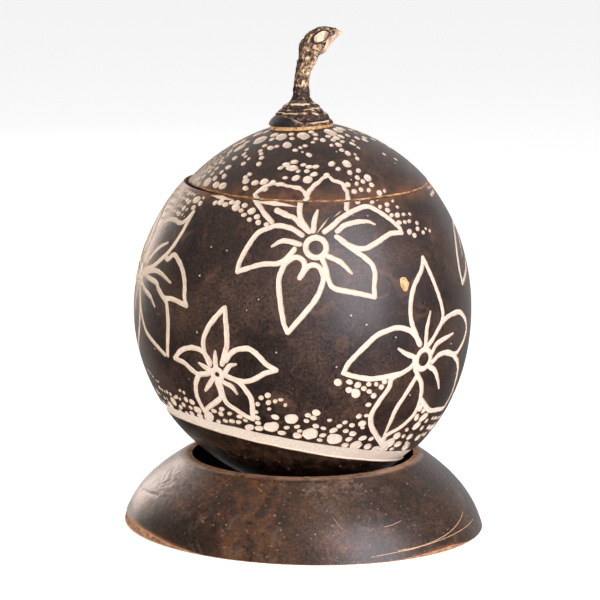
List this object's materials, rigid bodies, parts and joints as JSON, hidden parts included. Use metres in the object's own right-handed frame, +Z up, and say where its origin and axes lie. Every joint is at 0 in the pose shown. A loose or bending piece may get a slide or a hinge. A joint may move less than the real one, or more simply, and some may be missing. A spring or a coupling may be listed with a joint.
{
  "type": "carved dried bottle gourd jar",
  "caption": "Lidded jar made from a dried bottle gourd, its dark skin carved with flowers and dots, on a gourd ring stand.",
  "frame": {"origin": "middle of the ring stand's foot, on the surface it stands on", "axes": "+Z up, -Y towards the front, +X to the right as seen from the front"},
  "size_m": [0.1402, 0.1414, 0.1935],
  "materials": {
    "stand_skin": "satin",
    "bowl_skin": "satin",
    "lid_skin": "satin",
    "stem_bark": "matte"
  },
  "bodies": {
    "root": {"ring_stand": "stand_skin", "gourd_bowl": "bowl_skin", "gourd_lid": "lid_skin", "gourd_stem": "stem_bark"}
  },
  "joints": []
}
